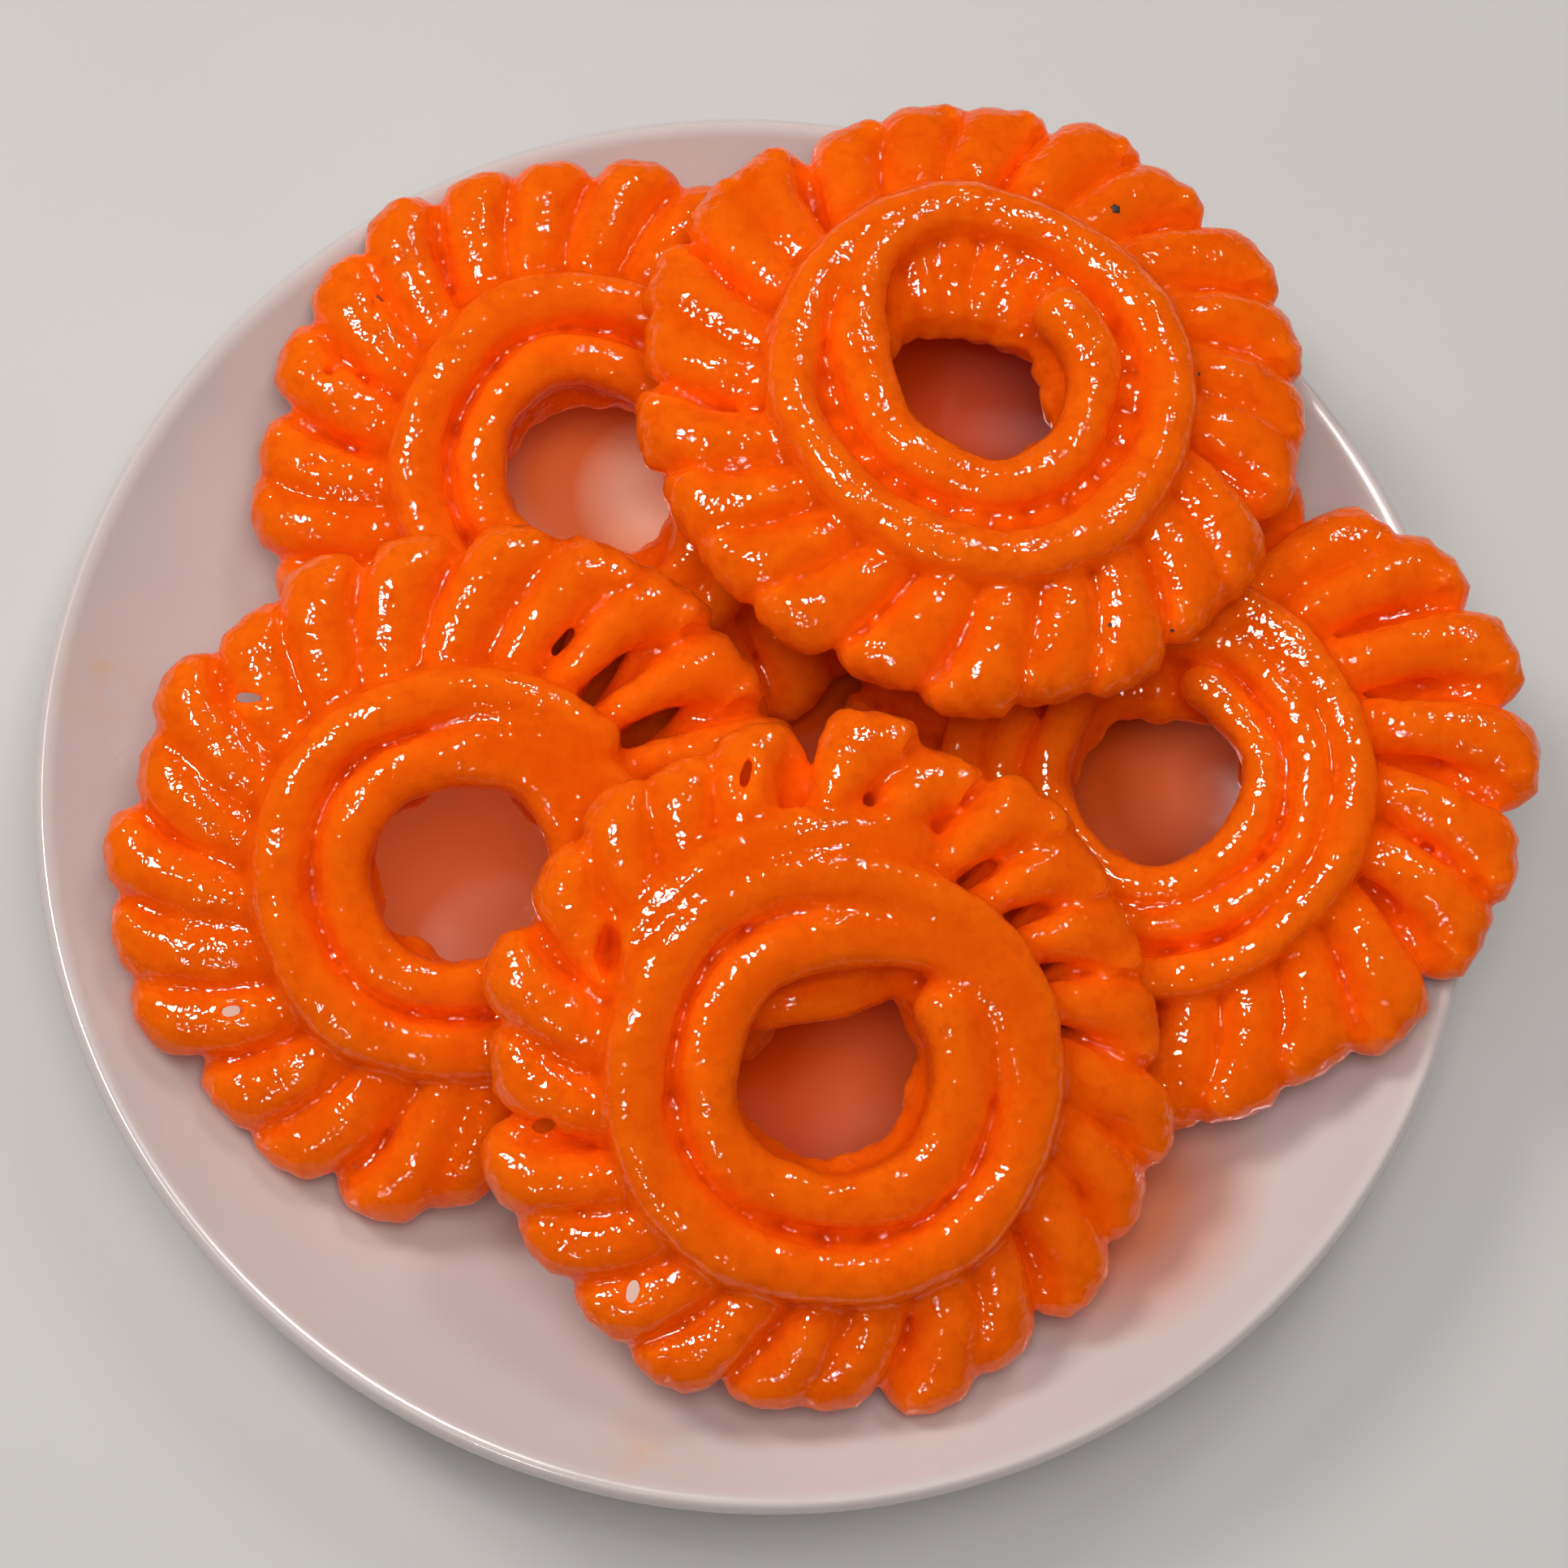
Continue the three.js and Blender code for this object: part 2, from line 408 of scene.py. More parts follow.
@dataclass(frozen=True)
class PlateGlaze:
    """White glaze, a little warm, with smears of orange syrup on the wall, and patches of painted light and
    shade on the floor under the sweets.
    """

    name: str = "plate_glaze"
    colour: Colour = (0.66, 0.590, 0.575)
    cloud: Colour = CLEAN_GLAZE
    cloud_size_mm: float = 60.0
    smear: Colour = (0.76, 0.48, 0.27)
    smear_spots_mm: tuple[Spot, ...] = ((-20.0, -92.0, 19.0), (-95.0, 15.0, 19.0))
    smear_reach_mm: float = 9.0
    streak_size_mm: float = 4.0
    streak_span: Span = (0.40, 0.75)
    most_streak: float = 0.7
    light_patch_fade: Span = (0.0, 0.6)
    gloss_size_mm: float = 25.0
    gloss: Span = (0.16, 0.28)
    ripple_size_mm: float = 18.0
    ripple_depth_mm: float = 0.12
    # Painted light and shade on the floor: orange tints and glows under the sweets and in their holes, a
    # painted shadow beside the front sweet, and painted light under two slits
    painted_light_patches: tuple[PaintedLightPatch, ...] = (
        PaintedLightPatch((-23.0, 51.0, 7.0), 30.0, (0.86, 0.20, 0.05), (0.06, 0.008, 0.002)),
        PaintedLightPatch((-16.0, 47.5, 7.0), 13.0, (1.0, 0.66, 0.48), (0.15, 0.055, 0.032)),
        PaintedLightPatch((30.0, 63.0, 7.0), 36.0, (0.92, 0.09, 0.001)),
        PaintedLightPatch((-46.0, -9.0, 7.0), 36.0, (0.48, 0.085, 0.016), (0.23, 0.039, 0.012)),
        PaintedLightPatch((5.0, -42.0, 7.0), 40.0, (0.87, 0.09, 0.002)),
        PaintedLightPatch((14.5, -40.0, 7.0), 15.0, (0.86, 0.15, 0.035), (0.09, 0.014, 0.004)),
        PaintedLightPatch((54.0, 4.0, 7.0), 36.0, (0.68, 0.095, 0.010)),
        PaintedLightPatch((63.0, 4.5, 7.0), 15.0, (0.82, 0.17, 0.05), (0.08, 0.018, 0.009)),
        PaintedLightPatch((7.0, 14.0, 7.0), 24.0, (0.80, 0.09, 0.003)),
        # Painted shadow beside the front sweet
        PaintedLightPatch((43.0, -56.0, 8.0), 25.0, (0.74, 0.26, 0.14)),
        # Painted light under two slits: clean glaze with a glow
        PaintedLightPatch((-76.5, -30.0, 11.7), 6.5, CLEAN_GLAZE, SLIT_LIGHT),
        PaintedLightPatch((-22.0, -68.5, 8.7), 6.5, CLEAN_GLAZE, SLIT_LIGHT),
    )

    def material(self) -> Material:
        """Makes the finish.

        Returns:
            The material.
        """
        graph = NodeGraph(self.name)
        clouds = graph.spread(graph.grain(self.cloud_size_mm, 2.0), MOST, WHOLE)
        colour = graph.blend(clouds, self.colour, self.cloud)
        streaks = graph.grain(self.streak_size_mm, 4.0, 0.6)
        streaks = graph.spread(streaks, self.streak_span, (0.0, self.most_streak))
        for spot_mm in self.smear_spots_mm:
            mark = graph.maths(Sum.PRODUCT, graph.near(spot_mm, self.smear_reach_mm), streaks)
            colour = graph.blend(mark, colour, self.smear)
        glow: Colour | Socket = DARK
        upper_face = graph.facing_up()
        # Painted light and shade: each patch tints the floor's colour and adds a glow
        for light_patch in self.painted_light_patches:
            patch = graph.spread(graph.near(light_patch.spot_mm, light_patch.reach_mm), self.light_patch_fade, WHOLE)
            mark = graph.maths(Sum.PRODUCT, patch, upper_face)
            colour = graph.blend(mark, colour, light_patch.colour)
            glow = graph.blend(mark, glow, light_patch.glow)
        graph.feed(colour, "Base Color")
        # Painted light: an emission glow on the floor for light that the sweets let through
        graph.feed(glow, "Emission Color")
        graph.material.cycles.emission_sampling = "NONE"  # too faint to count as a lamp
        gloss = graph.spread(graph.grain(self.gloss_size_mm, 3.0), WIDE, self.gloss)
        graph.feed(gloss, "Roughness")
        ripples = graph.relief((graph.grain(self.ripple_size_mm, 1.0), self.ripple_depth_mm))
        graph.feed(ripples, "Normal")
        graph.set_surface(IOR=1.5, Coat_Weight=0.4, Coat_Roughness=0.08, Emission_Strength=1.0)
        return graph.material


@dataclass(frozen=True)
class BurntCrumb:
    """A speck of black, dry crumb."""

    name: str = "burnt_crumb"
    colour: Colour = (0.020, 0.012, 0.008)
    ash: Colour = (0.060, 0.040, 0.030)
    grain_size_mm: float = 0.4
    grain_depth_mm: float = 0.1

    def material(self) -> Material:
        """Makes the finish.

        Returns:
            The material.
        """
        graph = NodeGraph(self.name)
        grain = graph.grain(self.grain_size_mm, 2.0)
        graph.feed(graph.blend(grain, self.colour, self.ash), "Base Color")
        graph.feed(graph.relief((grain, self.grain_depth_mm)), "Normal")
        graph.set_surface(Roughness=0.6)
        return graph.material


@dataclass(frozen=True)
class PaleFloor:
    """A plain pale studio floor."""

    name: str = "pale_floor"
    colour: Colour = (0.62, 0.61, 0.60)
    cloud: Colour = (0.65, 0.64, 0.63)
    cloud_size_mm: float = 90.0

    def material(self) -> Material:
        """Makes the finish.

        Returns:
            The material.
        """
        graph = NodeGraph(self.name)
        clouds = graph.spread(graph.grain(self.cloud_size_mm, 2.0), WIDE, WHOLE)
        graph.feed(graph.blend(clouds, self.colour, self.cloud), "Base Color")
        graph.set_surface(Roughness=0.7)
        return graph.material


@dataclass(frozen=True)
class PhotoView:
    """The photograph's camera, in metres, and what its pixels look at."""

    eye: Spot = (-0.04749, -0.13840, 0.51380)
    right: Spot = (0.9958, -0.0247, 0.0881)
    back: Spot = (-0.0915, -0.2691, 0.9588)
    lens_mm: float = 85.0
    sensor_mm: float = 36.0
    image_px: int = 1932
    clip_start: float = 0.01

    def turn(self) -> Matrix:
        """Works out how the camera is turned.

        Returns:
            A matrix with the camera's right, up and back as its columns.
        """
        back = Vector(self.back).normalized()
        right = Vector(self.right)
        right = (right - back * right.dot(back)).normalized()
        return Matrix((right, back.cross(right), back)).transposed()

    def ray(self, pixel: Pixel) -> Vector:
        """Finds where a pixel looks.

        Args:
            pixel: the photograph's pixel, from its top left corner.

        Returns:
            The direction from the eye.
        """
        scale = self.sensor_mm / self.lens_mm / self.image_px
        across = (pixel[0] - self.image_px / 2) * scale
        down = (pixel[1] - self.image_px / 2) * scale
        return (self.turn() @ Vector((across, -down, -1.0))).normalized()

    def meet(self, pixel: Pixel, place: Matrix, height_mm: float) -> Vector:
        """Finds where a pixel's line of sight meets a sweet's own level plane.

        Args:
            pixel: the photograph's pixel.
            place: the sweet's place.
            height_mm: the plane's height in the sweet.

        Returns:
            The meeting point, in metres.
        """
        normal = place.to_3x3() @ Vector(UP)
        level = place @ Vector((0.0, 0.0, height_mm * MM))
        ray = self.ray(pixel)
        reach = (level - Vector(self.eye)).dot(normal) / ray.dot(normal)
        return Vector(self.eye) + ray * reach

    def camera(self) -> Object:
        """Stands the camera where the photograph was taken from.

        Returns:
            The camera.
        """
        data = bpy.data.cameras.new("camera")
        data.lens = self.lens_mm
        data.sensor_width = self.sensor_mm
        data.clip_start = self.clip_start
        camera = put_in_scene("camera", data)
        camera.matrix_world = Matrix.Translation(Vector(self.eye)) @ self.turn().to_4x4()
        bpy.context.scene.camera = camera
        return camera


VIEW = PhotoView()


@dataclass
class MeshMaker:
    """Points in millimetres and faces, gathered from many small shapes."""

    points: list[np.ndarray] = field(default_factory=list)
    faces: list[tuple[int, ...]] = field(default_factory=list)
    count: int = 0

    def add_rings(self, rings: np.ndarray) -> None:
        """Adds a closed tube.

        Args:
            rings: its rings of points, as an array of rings by points by three.
        """
        amount, sides = rings.shape[:2]
        start = self.count
        for low in range(start, start + (amount - 1) * sides, sides):
            for i in range(sides):
                j = (i + 1) % sides
                self.faces.append((low + i, low + j, low + sides + j, low + sides + i))
        last = start + (amount - 1) * sides
        self.faces.append(tuple(range(start + sides - 1, start - 1, -1)))
        self.faces.append(tuple(range(last, last + sides)))
        self.points.append(rings.reshape(-1, 3))
        self.count += amount * sides

    def to_object(self, name: str, place: Matrix) -> Object:
        """Makes the mesh in the scene.

        Args:
            name: the object's name.
            place: where the shapes go, in metres.

        Returns:
            The object, at the origin.
        """
        mesh = bpy.data.meshes.new(name)
        mesh.from_pydata((np.concatenate(self.points) * MM).tolist(), [], self.faces)
        mesh.transform(place)
        return put_in_scene(name, mesh)


@dataclass(frozen=True)
class Strand:
    """A piped strand of batter: its middle line, with half its width and half its height along it.

    Its width lies level, or where aside is given, along that direction. Below a roundness of 1 it is flatter
    on top. Its tips stop short of a point by the angle blunt, in radians.
    """

    path: np.ndarray
    half_width: np.ndarray
    half_height: np.ndarray
    aside: np.ndarray | None = None
    roundness: float = 1.0
    sides: int = 16
    end_rings: int = 5
    blunt: float = 0.06

    def with_round_ends(self) -> tuple[np.ndarray, np.ndarray, np.ndarray]:
        """Carries the strand on into a round tip at both ends.

        Returns:
            The longer path, half widths and half heights.
        """
        swing = np.linspace(0, 1, self.end_rings + 1)[1:] * (math.pi / 2 - self.blunt)
        parts: list[list[np.ndarray]] = [[self.path], [self.half_width], [self.half_height]]
        for end, step, order in ((0, 1, -1), (-1, -2, 1)):
            outward = self.path[end] - self.path[step]
            outward = outward / np.linalg.norm(outward)
            shape = swing[::order]
            tip = (
                self.path[end] + np.outer(self.half_height[end] * np.sin(shape), outward),
                self.half_width[end] * np.cos(shape),
                self.half_height[end] * np.cos(shape),
            )
            for part, piece in zip(parts, tip):
                part.insert(0 if end == 0 else len(part), piece)
        return tuple(np.concatenate(part) for part in parts)

    def rings(self) -> np.ndarray:
        """Works out the strand's skin.

        Returns:
            Rings of points along the strand.
        """
        path, width, height = self.with_round_ends()
        along = np.gradient(path, axis=0)
        along /= np.linalg.norm(along, axis=1)[:, None]
        if self.aside is None:
            level = np.cross(UP, along)
        else:
            level = np.pad(self.aside, ((self.end_rings, self.end_rings), (0, 0)), "edge")
            level = level - along * np.einsum("ij,ij->i", level, along)[:, None]
        level /= np.linalg.norm(level, axis=1)[:, None]
        upward = np.cross(along, level)
        angles = FULL_TURN * np.arange(self.sides) / self.sides
        waves = (np.cos(angles), np.sin(angles))
        over, up = (np.sign(wave) * np.abs(wave) ** self.roundness for wave in waves)
        across = np.einsum("i,j,ik->ijk", width, over, level)
        return path[:, None] + across + np.einsum("i,j,ik->ijk", height, up, upward)


def ease(value: np.ndarray, start: float, end: float) -> np.ndarray:
    """Goes smoothly from 0 at start to 1 at end.

    Args:
        value: the numbers to place.
        start: where the rise starts.
        end: where it ends.

    Returns:
        The risen numbers.
    """
    share = np.clip((value - start) / (end - start), 0, 1)
    return share * share * (3 - 2 * share)


@dataclass(frozen=True)
class Place:
    """Where a sweet lies: its plane rises by tilt towards the bearing uphill, in millimetres and degrees."""

    x: float
    y: float
    lift: float
    tilt: float
    uphill: float

    def matrix(self) -> Matrix:
        """Works out the place.

        Returns:
            The matrix that lays a sweet down, in metres.
        """
        bearing = math.radians(self.uphill)
        hinge = Vector((math.sin(bearing), -math.cos(bearing), 0.0))
        turn = Matrix.Rotation(math.radians(self.tilt), 4, hinge)
        return Matrix.Translation(Vector((self.x, self.y, self.lift)) * MM) @ turn


@dataclass(frozen=True)
class Petals:
    """The loops of a sweet, in millimetres and degrees.

    They reach swell farther at the bearing swell_at. They lie open, with gaps, for open_span on both sides of
    open_at. The last loop goes on past the first by overlap, in petals.
    """

    count: int
    spin: float
    seed: int
    swell: float = 0.0
    swell_at: float = 0.0
    half_width: float = 4.2
    open_at: float = 0.0
    open_span: float = 0.0
    open_fade: float = 12.0
    open_half_width: float = 2.7
    open_rim_gain: float = 1.4
    rim_half_width: float = 4.9
    hole_half_width: float = 3.9
    reach: float = 43.0
    inner: float = 15.0
    fan: float = 2.0
    lean: float = 2.2
    middle: float = 6.55
    half_rise: float = 2.8
    half_height: float = 3.75
    uneven_reach: float = 1.6
    uneven_inner: float = 2.0
    uneven_lean: float = 1.5
    uneven_spacing: float = 0.14
    uneven_width: float = 0.1
    overlap: float = 0.3
    points_each: int = 28

    def uneven(self, run: Run, along: np.ndarray) -> np.ndarray:
        """Gives a repeatable smooth run of numbers from -1 to 1, with one for each petal.

        Args:
            run: which of the sweet's runs it is.
            along: places along the strand, in petals.

        Returns:
            A number for each place.
        """
        whole = np.floor(along)
        ends = []
        for k in (whole, whole + 1):
            angle = SCATTER_ITEM * (k % self.count) + SCATTER_RUN * (self.seed + run.value)
            wave = np.sin(angle) * SCATTER_SIZE
            ends.append(2 * (wave - np.floor(wave)) - 1)
        share = ease(along - whole, 0.0, 1.0)
        return ends[0] * (1 - share) + ends[1] * share

    def strand(self) -> Strand:
        """Lays the loops, a little past a whole round.

        Returns:
            The strand.
        """
        along = np.arange(int(self.points_each * (self.count + self.overlap))) / self.points_each
        loop = FULL_TURN * along
        spacing = self.uneven_spacing * self.uneven(Run.SPACING, along)
        bearing = math.radians(self.spin) + FULL_TURN * (along + spacing) / self.count
        facing = np.maximum(0, np.cos(bearing - math.radians(self.swell_at)))
        reach = self.reach + self.swell * facing ** 2 + self.uneven_reach * self.uneven(Run.REACH, along)
        inner = self.inner + self.uneven_inner * self.uneven(Run.INNER, along)
        lean = self.lean + self.uneven_lean * self.uneven(Run.LEAN, along)
        radius = (reach + inner) / 2 + (reach - inner) / 2 * np.cos(loop)
        sideways = self.fan * np.sin(loop) - lean * np.cos(loop)
        path = np.stack([
            radius * np.cos(bearing) - sideways * np.sin(bearing),
            radius * np.sin(bearing) + sideways * np.cos(bearing),
            self.middle + self.half_rise * np.sin(loop),
        ], axis=1)
        aside = np.stack([-np.sin(bearing), np.cos(bearing), np.zeros_like(bearing)], axis=1)
        return Strand(path, self.widths(along, bearing), np.full_like(along, self.half_height), aside)

    def widths(self, along: np.ndarray, bearing: np.ndarray) -> np.ndarray:
        """Works out half the strand's width: it narrows from rim to hole, and where the loops lie open.

        Args:
            along: places along the strand, in petals.
            bearing: their bearings.

        Returns:
            Half the width at each place.
        """
        turned = np.degrees(bearing) - self.open_at
        aside = np.abs((turned + 180) % 360 - 180)
        shut = ease(aside, self.open_span - self.open_fade, self.open_span) if self.open_span else 1.0
        middle = self.open_half_width + (self.half_width - self.open_half_width) * shut
        middle = middle * (1 + self.uneven_width * self.uneven(Run.WIDTH, along))
        outward = np.cos(FULL_TURN * along)
        rim = self.rim_half_width + self.open_rim_gain * (1 - shut)
        ends = np.where(outward > 0, rim, self.hole_half_width)
        return middle + (ends - middle) * outward ** 2


@dataclass(frozen=True)
class Ripple:
    """A wave along a strand: how far it swings, and how quick it is."""

    swing: float
    quickness: float

    def at(self, along: np.ndarray, shift: float = 0.0) -> np.ndarray:
        """Gives the wave's height at places along the strand."""
        return self.swing * np.sin(self.quickness * along + shift)


@dataclass(frozen=True)
class Spiral:
    """A strand laid round on top of the loops: an inner turn, then a step out to an outer turn.

    Sizes are in millimetres and degrees, and places along it in turns from its tip beside the hole.
    """

    inner: float
    outer: float
    tip: float
    x: float = 0.0
    y: float = 0.0
    turns: float = 2.15
    step_out: Span = (0.7, 1.15)
    half_width: float = 4.5
    height: float = 12.5
    half_height: float = 3.75
    roundness: float = 0.85
    tip_rise: float = 0.0
    tip_span: Span = (0.0, 0.22)
    wobble: float = 0.7
    wander: Ripple = Ripple(1.0, 3.0)
    shake: Ripple = Ripple(0.15, 7.3)
    slow_width: Ripple = Ripple(0.06, 9.1)
    quick_width: Ripple = Ripple(0.05, 31.7)
    quick_height: Ripple = Ripple(0.05, 23.9)
    points_each_turn: int = 60

    def strand(self) -> Strand:
        """Lays the turns, clockwise from the tip.

        Returns:
            The strand.
        """
        turned = np.arange(int(self.turns * self.points_each_turn) + 1) / self.points_each_turn
        bearing = math.radians(self.tip) - FULL_TURN * turned
        radius = self.inner + (self.outer - self.inner) * ease(turned, *self.step_out)
        radius += self.wobble * (self.wander.at(bearing, self.tip) * np.sin(bearing) + self.shake.at(bearing))
        path = np.stack([
            self.x + radius * np.cos(bearing),
            self.y + radius * np.sin(bearing),
            self.height + self.tip_rise * (1 - ease(turned, *self.tip_span)),
        ], axis=1)
        width = self.half_width * (1 + self.slow_width.at(turned, self.tip) + self.quick_width.at(turned))
        height = self.half_height * (1 + self.quick_height.at(turned, self.tip))
        return Strand(path, width, height, roundness=self.roundness)


@dataclass(frozen=True)
class Web:
    """Thin batter run together between the loops, clockwise from a bearing, in millimetres and degrees."""

    start: float = 0.0
    turns: float = 1.02
    radius: float = 29.5
    half_width: float = 10.5
    height: float = 5.6
    half_height: float = 2.2

    def strand(self) -> Strand:
        """Lays the web as one flat, wide strand.

        Returns:
            The strand.
        """
        flat = Spiral(self.radius, self.radius, self.start, turns=self.turns, half_width=self.half_width,
                      height=self.height, half_height=self.half_height, wobble=0.0)
        return flat.strand()


@dataclass(frozen=True)
class LooseStrand:
    """A strand that lies across the others, through points in the sweet's own millimetres."""

    points: tuple[Spot, ...]
    half_width: float = 4.0
    half_height: float = 3.4
    points_each: int = 12

    def strand(self) -> Strand:
        """Lays a smooth line through the points.

        Returns:
            The strand.
        """
        knots = np.array((self.points[0], *self.points, self.points[-1]))
        share = np.arange(self.points_each)[:, None] / self.points_each
        runs = []
        for a, b, c, d in zip(knots, knots[1:], knots[2:], knots[3:]):
            curve = 2 * b + (c - a) * share + (2 * a - 5 * b + 4 * c - d) * share ** 2
            runs.append((curve + (3 * b - a - 3 * c + d) * share ** 3) / 2)
        path = np.concatenate([*runs, knots[-1:]])
        amount = len(path)
        return Strand(path, np.full(amount, self.half_width), np.full(amount, self.half_height))


@dataclass(frozen=True)
class Slit:
    """A gap between strands: where it shows in the photograph, and its size in millimetres and degrees."""

    pixel: Pixel
    length: float
    width: float
    turn: float
    cut: Cut = Cut.THROUGH
    corners: int = 20
    pointed: float = 0.5

    def rings(self, place: Matrix, height_mm: float) -> np.ndarray:
        """Works out the shape to cut away, along the line of sight.

        Args:
            place: the sweet's place.
            height_mm: the height in the sweet at which the slit has its size.

        Returns:
            Rings of points from far to near, in millimetres.
        """
        middle = np.array(VIEW.meet(self.pixel, place, height_mm)) / MM
        ray = np.array(VIEW.ray(self.pixel))
        right, up, _ = (np.array(axis) for axis in VIEW.turn().transposed())
        angles = FULL_TURN * np.arange(self.corners) / self.corners
        turn = math.radians(self.turn)
        along = right * math.cos(turn) + up * math.sin(turn)
        aside = up * math.cos(turn) - right * math.sin(turn)
        narrowing = np.abs(np.sin(angles)) ** self.pointed
        ring = np.outer(np.cos(angles) * self.length / 2, along)
        ring += np.outer(np.sin(angles) * narrowing * self.width / 2, aside)
        return np.stack([middle + ray * depth + ring * flare for depth, flare in self.cut.value])


def read_points(skin: Mesh) -> tuple[np.ndarray, np.ndarray]:
    """Reads a mesh's points.

    Args:
        skin: the mesh.

    Returns:
        The points, in metres, and their normals.
    """
    points, normals = np.empty((2, len(skin.vertices), 3))
    skin.vertices.foreach_get("co", points.ravel())
    skin.vertices.foreach_get("normal", normals.ravel())
    return points, normals


@dataclass
class Jangiri:
    """One sweet: looped and spiral strands that have run together in the hot oil."""

    node: str
    place: Place
    petals: Petals
    web: Web
    tops: tuple[Spiral | LooseStrand, ...]
    slits: tuple[Slit, ...] = ()
    slit_height: float = 9.0
    voxel_mm: float = 0.58
    soften_steps: int = 2
    soften_share: float = 0.5
    lump_mm: float = 0.38
    lump_size_mm: float = 6.0
    fine_share: float = 0.35
    fine_scale: float = 3.1
    crease_steps: int = 30

    def lay_strands(self) -> Object:
        """Lays all the strands, still crossing each other.

        Returns:
            The object that holds them.
        """
        maker = MeshMaker()
        for part in (self.petals, self.web, *self.tops):
            maker.add_rings(part.strand().rings())
        return maker.to_object(f"{self.node}_strands", self.place.matrix())

    def lay_cutters(self) -> Object:
        """Shapes what is cut away for the slits.

        Returns:
            The object that holds the cutters.
        """
        maker = MeshMaker()
        for slit in self.slits:
            maker.add_rings(slit.rings(self.place.matrix(), self.slit_height))
        return maker.to_object(f"{self.node}_cutters", Matrix.Identity(4))

    def fuse(self, strands: Object, cutters: Object | None) -> Mesh:
        """Melts crossing strands into one skin and opens the slits.

        Args:
            strands: the object that holds the strands.
            cutters: the object that holds the slits' cutters, if there are slits.

        Returns:
            The skin.
        """
        self.add_melt(strands)
        if cutters is not None:
            cut = strands.modifiers.new("cut", "BOOLEAN")
            cut.operation = "DIFFERENCE"
            cut.solver = "MANIFOLD"
            cut.object = cutters
            self.add_melt(strands)
        soften = strands.modifiers.new("soften", "SMOOTH")
        soften.factor = self.soften_share
        soften.iterations = self.soften_steps
        seen = strands.evaluated_get(bpy.context.evaluated_depsgraph_get())
        return bpy.data.meshes.new_from_object(seen)

    def add_melt(self, strands: Object) -> None:
        """Adds a remesh that joins whatever touches.

        Args:
            strands: the object to remesh.
        """
        melt = strands.modifiers.new("melt", "REMESH")
        melt.mode = "VOXEL"
        melt.voxel_size = self.voxel_mm * MM

    def roughen(self, skin: Mesh) -> None:
        """Makes the skin as lumpy as fried batter.

        Args:
            skin: the mesh to move.
        """
        points, normals = read_points(skin)
        spots = map(Vector, points / (self.lump_size_mm * MM) + self.petals.seed * SEED_STEP)
        heights = [
            noise.noise(spot) + self.fine_share * noise.noise(spot * self.fine_scale)
            for spot in spots
        ]
        points += normals * (self.lump_mm * MM * np.array(heights))[:, None]
        skin.vertices.foreach_set("co", points.ravel())
        skin.shade_smooth()
        skin.update()

    def mark_creases(self, skin: Mesh) -> None:
        """Keeps how far each point lies under its smoothed surroundings, in millimetres.

        Args:
            skin: the mesh to mark.
        """
        points, normals = read_points(skin)
        amount = len(points)
        ends = np.empty(len(skin.edges) * 2, dtype=np.int64)
        skin.edges.foreach_get("vertices", ends)
        here = np.concatenate([ends[0::2], ends[1::2]])
        there = np.concatenate([ends[1::2], ends[0::2]])
        neighbours = np.bincount(here, minlength=amount)[:, None]
        smooth = points
        for _ in range(self.crease_steps):
            sums = [np.bincount(here, smooth[there, axis], amount) for axis in range(3)]
            smooth = np.stack(sums, axis=1) / neighbours
        depths = np.einsum("ij,ij->i", smooth - points, normals) / MM
        skin.attributes.new(CREASE, "FLOAT", "POINT").data.foreach_set("value", depths)

    def build(self) -> Object:
        """Builds the sweet in place of its solid.

        Returns:
            The finished mesh object.
        """
        strands = self.lay_strands()
        cutters = self.lay_cutters() if self.slits else None
        skin = self.fuse(strands, cutters)
        for spent in (strands, cutters):
            if spent is not None:
                bpy.data.objects.remove(spent)
        self.roughen(skin)
        self.mark_creases(skin)
        sweet = put_in_scene(f"{self.node}_sweet", skin)
        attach(sweet, BODY)
        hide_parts(self.node)
        return sweet

    def dress(self, sweet: Object, finish: Material) -> None:
        """Gives the sweet its finish.

        Args:
            sweet: the mesh object.
            finish: the material.
        """
        sweet.data.materials.clear()
        sweet.data.materials.append(finish)


